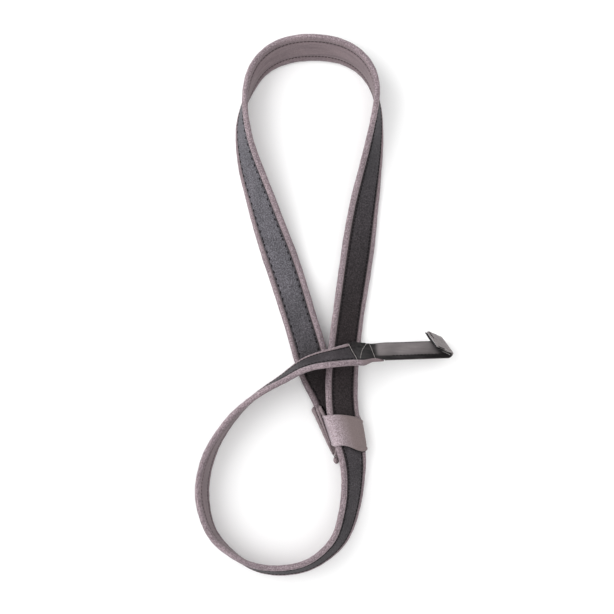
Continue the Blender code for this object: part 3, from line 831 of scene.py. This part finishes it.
def binding_point(down, out, height):
    down, out, height = np.broadcast_arrays(down, out, height)
    plan = BINDING_ORIGIN + END_ALONG * down[..., None] + END_OUT * out[..., None]
    return plan + UP * height[..., None]


def roll(name, line):
    """A closed roll of cloth along (down, out, height, radius) places."""
    radii = line[:, 3]
    knots = lengths_along(line[:, :3])
    at = np.linspace(0.0, knots[-1], max(int(knots[-1] / ROLL_STEP), LEAST_ROLL_RINGS))
    centre = np.stack([natural_spline(knots, line[:, k], at) for k in range(3)], axis=1)
    radius = np.interp(at, knots, radii)
    from_end = np.minimum(at, knots[-1] - at)
    radius = radius * np.sqrt(np.clip(from_end / ROLL_END, 0.08, 1.0))
    radius = radius * (1.0 + 0.05 * np.sin(at * 900.0 + radii[0] * 9000.0))
    points = binding_point(centre[:, 0], centre[:, 1], centre[:, 2])
    made = tube(name, thin_cord(points, radius, ROLL_SIDES, UP), KEEPER_CLOTH)
    set_nap(made, ROLL_NAP)
    return made


def seam_points():
    """A row of short stitches between the two rolls of the sewn edge."""
    down = SEAM_START + np.arange(SEAM_STITCHES) * STITCH_PITCH
    out = np.interp(down, *SEAM_PATH)
    step = np.linspace(-1.0, 1.0, STITCH_RINGS)
    angle = np.arange(STITCH_SIDES) * math.tau / STITCH_SIDES
    along = down[:, None] + step[None, :] * SEAM_HALF_STITCH
    thick = SEAM_RADIUS * np.sqrt(np.clip(1.0 - 0.85 * step**4, 0.0, 1.0))
    height = SEAM_HEIGHT + 0.0003 * (1.0 - step**2)
    ring_out = out[:, None, None] + thick[None, :, None] * np.cos(angle)
    ring_height = height[None, :, None] + thick[None, :, None] * np.sin(angle)
    ring_height = ring_height - SEAM_FALL * (down / SEAM_LENGTH)[:, None, None]
    return binding_point(along[:, :, None] + 0.0 * ring_out, ring_out, ring_height + 0.0 * ring_out)


def build_sewn_edge():
    """The bound edge of the sewn end: two rolls side by side with a dark seam between them."""
    rolls = [roll(name, np.array(line) * MM) for name, line in EDGE_ROLLS.items()]
    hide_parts("keeper_binding")
    seam = tubes("edge_seam_stitches", seam_points(), DARK_THREAD)
    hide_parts("keeper_seam")
    return rolls, seam


PANEL_OUTLINE = (
    (-0.0115, -0.0863), (0.0093, -0.1300), (0.0118, -0.1338), (0.0340, -0.1236), (0.0298, -0.0946),
    (0.0225, -0.0856),
)
PANEL_CORNER = 0.0025
CORNER_STEPS = 6
PANEL_NAP = 0.2
# How much of the outline each ring of the panel takes in, and its height: the hem, then the flat.
PANEL_RINGS = (
    (0.9, 0.0), (0.97, 0.0001), (1.0, 0.0006), (0.985, 0.0011), (0.94, 0.0013), (0.90, 0.00105),
    (0.86, 0.0012),
)


def rounded_outline(corners, radius):
    """The outline with its corners rounded off."""
    corners = [np.array(corner) for corner in corners]
    points = []
    for before, corner, after in zip(corners[-1:] + corners[:-1], corners, corners[1:] + corners[:1]):
        first = corner + unit(before - corner) * radius
        last = corner + unit(after - corner) * radius
        for t in np.linspace(0.0, 1.0, CORNER_STEPS):
            points.append((1 - t) ** 2 * first + 2 * t * (1 - t) * corner + t**2 * last)
    return np.array(points)


def build_back_panel():
    """The flat cloth panel under the sewn end, with a rounded hem all round."""
    outline = rounded_outline(PANEL_OUTLINE, PANEL_CORNER)
    middle = outline.mean(axis=0)
    rings = []
    for inset, height in PANEL_RINGS:
        flat = middle + (outline - middle) * inset
        rings.append(np.column_stack((flat, np.full(len(flat), height))))
    panel = tube("back_panel", np.stack(rings), KEEPER_CLOTH)
    set_nap(panel, PANEL_NAP)
    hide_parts("keeper_back_panel")
    return panel


def build_hem_painted_shadow():
    """A dark cord under the band's lower hem: a painted shadow, standing for the line of shade
    between the hem and the strap.
    """
    right = np.linspace(-0.0050, 0.0138, 36)
    path = np.array(BAND_PATH[4:12])
    height = np.interp(right, path[:, 0], path[:, 1]) - HEM_SHADOW_DEPTH
    down = curve_of(HEM_BOTTOM, right) + HEM_SHADOW_SHOW
    points = keeper_point(right, down, height)
    share = np.linspace(0.0, 1.0, len(right))
    radii = HEM_SHADOW_RADIUS * np.sqrt(np.clip(np.minimum(share, 1.0 - share) * 8.0, 0.05, 1.0))
    # painted shadow: a near-black cord where there is only shade under the hem
    underside = tube("hem_painted_shadow", thin_cord(points, radii), DARK_THREAD)
    return underside


def build_keeper():
    edges, seam = build_sewn_edge()
    cloth = [build_front_band(), build_back_panel()] + edges
    for piece in cloth + [seam, build_hem_painted_shadow()]:
        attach(piece, "keeper")


build_keeper()

# ---------------------------------------------------------------- the tab and its hook

TAB_HALF_WIDTH = 0.0090
CREASE_NORTH = 0.0478
CREASE_SLANT = math.radians(22.0)
BEND_CENTRE = 0.0042
BEND_ANGLE = math.radians(135.0)
FLAP_LENGTH = 0.0240
TAB_S = STRAP_END + 0.010
tab_along = ribbon.read(ribbon.along, TAB_S)
tab_across = unit(ribbon.read(ribbon.across, TAB_S))
tab_outward = unit(ribbon.read(ribbon.outward, TAB_S))
tab_origin = ribbon.read(ribbon.point, STRAP_END)
crease_forward = tab_along * math.cos(CREASE_SLANT) - tab_across * math.sin(CREASE_SLANT)


def crease_s(x):
    return STRAP_END + CREASE_NORTH + (x + TAB_HALF_WIDTH) * math.tan(CREASE_SLANT)


def bent_point(x, y, angle, further):
    """A point of the hook at this place across and this angle round the slanted bend."""
    x, y, angle, further = np.broadcast_arrays(x, y, angle, further)
    ahead = crease_s(x) - STRAP_END
    hinge = tab_origin + tab_along * ahead[..., None]
    hinge = hinge + tab_across * x[..., None] + tab_outward * BEND_CENTRE
    sine, cosine = np.sin(angle)[..., None], np.cos(angle)[..., None]
    spoke = crease_forward * sine - tab_outward * cosine
    onward = crease_forward * cosine + tab_outward * sine
    return hinge + spoke * (BEND_CENTRE - y)[..., None] + onward * further[..., None]


# The face leather's outline in millimetres, north to south, over the padded root and on the tab.
ROOT_FACE = (
    (-14.9, -1.3), (-15.4, -0.2), (-15.1, 1.0), (-14.3, 2.1), (-13.2, 2.85), (-11.8, 3.0),
    (-10.4, 2.8), (-8.8, 2.8), (-6.0, 2.95), (-3.0, 3.0), (0.0, 3.0), (3.0, 3.0), (6.0, 2.95),
    (8.4, 2.9), (9.7, 2.85), (10.5, 2.75), (10.9, 2.4),
)
ROOT_LINING = (
    (-14.3, -1.2), (-14.5, -0.2), (-14.2, 0.8), (-13.5, 1.5), (-12.7, 1.9), (-11.8, 2.0),
    (-10.4, 1.7), (-8.8, 1.4), (-6.0, 1.3), (-3.0, 1.3), (0.0, 1.3), (3.0, 1.3), (6.0, 1.3),
    (8.2, 1.3), (9.2, 1.4), (10.0, 1.6), (10.4, 1.8),
)
TAB_FACE = (
    (-8.0, 2.3), (-8.1, 2.6), (-8.05, 2.9), (-7.8, 3.15), (-7.4, 3.25), (-6.9, 3.25), (-6.5, 3.05),
    (-6.1, 3.25), (-5.0, 3.35), (-2.5, 3.45), (0.0, 3.5), (2.5, 3.45), (5.4, 3.3), (6.1, 2.9),
    (8.2, 2.8), (9.5, 2.6), (9.8, 2.3),
)
TAB_LINING_SHRINK = 0.98
TAB_LINING_Y = 0.00222
FLESH_SECTION = (
    (-8.3, 0.5), (-8.0, 0.2), (-4.0, 0.15), (0.0, 0.15), (4.0, 0.15), (8.6, 0.2), (8.95, 0.5),
    (8.95, 1.1), (8.7, 1.4), (0.0, 1.45), (-8.0, 1.4), (-8.3, 1.1),
)
LIE_ROWS = 74
FLESH_ROWS = 40
BEND_ROWS = 14
FLAP_ROWS = 16
BEND_STEPS = np.linspace(0.0, BEND_ANGLE, BEND_ROWS + 1)[1:]
FLAP_STEPS = np.linspace(0.0, FLAP_LENGTH, FLAP_ROWS + 1)[1:]
FLAP_EDGE = 0.00895
FLESH_GAP = 0.0006
CORNER_REACH = 0.0025
ROOT_WRINKLE = 0.00042


def face_ring(t):
    """The face leather's outline at this share of the way from its root to the bend."""
    middle = ROOT + (crease_s(0.0) - ROOT) * t
    on_tab = smoothstep(STRAP_END - 0.008, STRAP_END + 0.003, middle)
    root = np.array(ROOT_FACE + ROOT_LINING[::-1]) * MM * taper_at(middle)
    face = np.array(TAB_FACE) * MM
    underside = np.column_stack((face[::-1, 0] * TAB_LINING_SHRINK, np.full(len(face), TAB_LINING_Y)))
    tab = np.concatenate((face, underside))
    ring = root + (tab - root) * on_tab
    x, y = ring.T
    outside = np.arange(len(x)) < len(ROOT_FACE)
    near_root = 1.0 - smoothstep(ROOT + 0.004, ROOT + 0.022, middle)
    northern = 1.0 - smoothstep(-0.009, -0.001, x)
    fold = np.sin((middle * 0.9 + x * 0.35) * 1900.0) + 0.6 * np.sin((middle - x * 0.5) * 1250.0)
    y = y + outside * near_root * northern * fold * ROOT_WRINKLE
    dish = np.sin((middle + x * 0.3) * 210.0) * 0.00010
    y = y + outside * on_tab * dish
    return x, y


def build_face_leather():
    """One leather from its slanted end over the strap's padding to the tip of the hook."""
    rows = []
    for t in np.linspace(0.0, 1.0, LIE_ROWS):
        x, y = face_ring(t)
        start = ROOT + ROOT_SKEW * x
        end_edge = smoothstep(0.0, 0.012, t) * 0.8 + 0.2
        y = y * end_edge + 0.0014 * (1.0 - end_edge)
        rows.append(ribbon.place(start + (crease_s(x) - start) * t, x, y))
    x, y = face_ring(1.0)
    rows += [bent_point(x, y, angle, 0.0) for angle in BEND_STEPS]
    rows += [bent_point(x, y, BEND_ANGLE, further) for further in FLAP_STEPS]
    face = tube("tab_face_leather", np.stack(rows), TAB_LEATHER)
    across = smoothstep(-0.0078, -0.0070, x) * (1.0 - smoothstep(0.0050, 0.0062, x))
    shares = np.concatenate((np.linspace(0.0, 1.0, LIE_ROWS), np.full(BEND_ROWS + FLAP_ROWS, 1.0)))
    # Grey from just past the root, dark toward the bend as a painted shadow under the flap; across,
    # grey between the edge stitches and dark beyond them.
    grey_unshaded = smoothstep(0.265, 0.32, shares) * (1.0 - smoothstep(0.86, 0.96, shares))
    set_nap(face, grey_unshaded[:, None] * across[None, :])
    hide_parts("tab_upper", "tab_root")
    return face


def flap_corner_round(further, x):
    """Rounds the flap's two far corners."""
    reach = np.clip((further - (FLAP_LENGTH - CORNER_REACH)) / CORNER_REACH, 0.0, 1.0)
    return x * (1.0 - 0.12 * reach**2)


def build_flesh_leather():
    """The backing layer, whose rough brown side faces out of the folded hook."""
    x, y = (np.array(FLESH_SECTION) * MM).T
    rows = []
    start = STRAP_END + FLESH_GAP
    for t in np.linspace(0.0, 1.0, FLESH_ROWS):
        rows.append(ribbon.place(start + (crease_s(x) - start) * t, x, y))
    rows += [bent_point(x, y, angle, 0.0) for angle in BEND_STEPS]
    for further in FLAP_STEPS:
        wave = 0.00012 * np.sin(further * 700.0 + x * 300.0)
        rows.append(bent_point(flap_corner_round(further, x), y + wave, BEND_ANGLE, further))
    flesh = tube("tab_flesh_leather", np.stack(rows), FLESH_LEATHER)
    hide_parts("tab_lower")
    return flesh


# Each frayed layer's place through the tab and the radius of its cord.
RAW_EDGE_CORDS = ((0.0003, 0.00026), (0.0011, 0.00024), (0.0027, 0.00028))
# Where the torn bits lie across the flap, and half their widths; they are partly painted shade.
TORN_SHADE_BITS = ((-0.0052, 0.0016), (-0.0030, 0.0012), (-0.0008, 0.0014))


def build_raw_edges():
    """Light, frayed cut edges of the layers, along the flap's open side."""
    random = np.random.default_rng(SEED + 5)
    cords = []
    t = np.linspace(0.0, 1.0, 40)
    for y, radius in RAW_EDGE_CORDS:
        fray = np.cumsum(random.normal(0.0, 0.00006, len(t)))
        fray = fray - np.linspace(fray[0], fray[-1], len(t))
        further = FLAP_LENGTH * (0.02 + 0.60 * t)
        points = bent_point(FLAP_EDGE + 0.5 * fray, y + fray, BEND_ANGLE, further)
        radii = radius * (0.75 + 0.5 * random.random(len(t)))
        radii = radii * np.sqrt(np.clip(np.minimum(t, 1.0 - t) * 20.0, 0.05, 1.0))
        cords.append(thin_cord(points, radii))
    edges = tubes("flap_raw_edges", np.stack(cords), RAW_EDGE)
    set_nap(edges, 1.0)
    return edges


def build_torn_tip_shade():
    """Black torn bits at the flap's far edge, and a dark rim along its open side up to them: partly
    the black face leather, partly painted shade on the shaded free end and in the split between the
    layers.
    """
    random = np.random.default_rng(SEED + 9)
    solids = []
    for middle, reach in TORN_SHADE_BITS:
        x = middle + np.linspace(-reach, reach, 12)
        further = FLAP_LENGTH - 0.0012 + np.cumsum(random.normal(0.0, 0.00012, len(x)))
        t = np.linspace(-1.0, 1.0, len(x))
        radii = 0.0005 * np.sqrt(np.clip(1.0 - t**2, 0.05, 1.0)) * (0.7 + 0.6 * random.random(len(x)))
        solids.append(thin_cord(bent_point(x, 0.00012, BEND_ANGLE, further), radii))
    share = np.linspace(0.60, 0.99, len(x))
    rim = bent_point(TAB_HALF_WIDTH, 0.0004, BEND_ANGLE, FLAP_LENGTH * share)
    solids.append(thin_cord(rim, np.full(len(x), 0.0004)))
    # painted shade: near-black bits and rim on the flap's shaded free end and open side
    torn_shade = tubes("flap_torn_tip_shade", np.stack(solids), DARK_THREAD)
    return torn_shade


def build_zigzag():
    """The pale box stitch on the root: one row on its slanted end, then two zigzag rows."""
    cords = []
    for (start_s, start_x), (end_s, end_x) in ZIGZAG_ROWS:
        for k in range(ZIGZAG_STITCHES):
            t = (k + np.linspace(0.04, 0.96, ZIGZAG_RINGS)) / ZIGZAG_STITCHES
            s = start_s + (end_s - start_s) * t
            x = start_x + (end_x - start_x) * t
            over_face = np.interp(x, ROOT_PLACES, ROOT_TOP)
            local = np.linspace(-1.0, 1.0, ZIGZAG_RINGS)
            y = over_face * taper_at(s) + 0.00030 - 0.00035 * local**4
            radii = ZIGZAG_RADIUS * np.sqrt(np.clip(1.0 - 0.8 * local**6, 0.0, 1.0))
            cords.append(thin_cord(ribbon.place(s, x, y), radii, sides=6))
    zigzag = tubes("tab_zigzag_stitches", np.stack(cords), PALE_THREAD)
    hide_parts("tab_zigzag")
    return zigzag


def build_tab_edge_stitches():
    """Dark stitches along both long edges of the tab."""
    start, end = STRAP_END + 0.004, STRAP_END + 0.046
    solids = [
        stitch_points(start, end, 0.0059, 1.0, 0.00295, radius=0.00026),
        stitch_points(start, end - 0.004, -0.0072, 1.0, 0.00300, radius=0.00024),
    ]
    edge = tubes("tab_edge_stitches", np.concatenate(solids), DARK_THREAD)
    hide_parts("tab_edge_stitch")
    return edge


def build_tab():
    root_pieces = [build_face_leather(), build_zigzag()]
    hook_pieces = [
        build_flesh_leather(),
        build_raw_edges(),
        build_torn_tip_shade(),
        build_tab_edge_stitches(),
    ]
    flex_start = strap_middle(STRAP_END - 0.004)
    flex_end = strap_middle(STRAP_END + 0.004)
    for piece in root_pieces:
        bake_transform(piece)
    for piece in hook_pieces:
        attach(piece, "hook_tab")
    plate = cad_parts["hook_plate"]
    plate.data.materials.clear()
    plate.data.materials.append(STEEL)


build_tab()

# ---------------------------------------------------------------- floor, light and camera

VIEW_CENTRE = Vector((-0.0153, -0.0023, 0.015))
VIEW_WIDTH = 0.5117
CAMERA_HEIGHT = 1.5
SENSOR_WIDTH = 36.0
FLOOR_CORNERS = ((-3.0, -3.0, 0.0), (3.0, -3.0, 0.0), (3.0, 3.0, 0.0), (-3.0, 3.0, 0.0))
KEY_PLACE = (-1.3, 0.5, 1.0)
KEY_SIZE = 1.7
KEY_POWER = 26.0
WORLD_STRENGTH = 1.1


def build_stage():
    """A plain white floor."""
    floor_mesh = bpy.data.meshes.new("floor")
    floor_mesh.from_pydata(FLOOR_CORNERS, [], [(0, 1, 2, 3)])
    paper, _, shader, _ = new_material("white_paper", Roughness=0.9, Specular_IOR_Level=0.1)
    shader.inputs["Base Color"].default_value = (0.92, 0.92, 0.92, 1.0)
    floor_mesh.materials.append(paper)
    floor = new_object("floor", floor_mesh)


def build_light():
    """An even white surround and one large soft light from the left."""
    world = bpy.data.worlds.new("studio")
    world.use_nodes = True
    background = world.node_tree.nodes["Background"]
    background.inputs["Color"].default_value = (1.0, 1.0, 1.0, 1.0)
    background.inputs["Strength"].default_value = WORLD_STRENGTH
    bpy.context.scene.world = world
    data = bpy.data.lights.new("key_light", "AREA")
    data.shape = "SQUARE"
    data.size = KEY_SIZE
    data.energy = KEY_POWER
    made = new_object("key_light", data)
    made.location = KEY_PLACE
    made.rotation_euler = (-Vector(KEY_PLACE)).to_track_quat("-Z", "Y").to_euler()
    bpy.context.scene.view_settings.view_transform = "Standard"


def build_camera():
    """A camera straight above, as wide as the view."""
    data = bpy.data.cameras.new("camera")
    data.sensor_width = SENSOR_WIDTH
    distance = CAMERA_HEIGHT - VIEW_CENTRE.z
    data.lens = data.sensor_width * distance / VIEW_WIDTH
    data.clip_start = 0.01
    data.clip_end = 20.0
    made = new_object("camera", data)
    made.location = (VIEW_CENTRE.x, VIEW_CENTRE.y, CAMERA_HEIGHT)
    bpy.context.scene.camera = made


build_stage()
build_light()
build_camera()
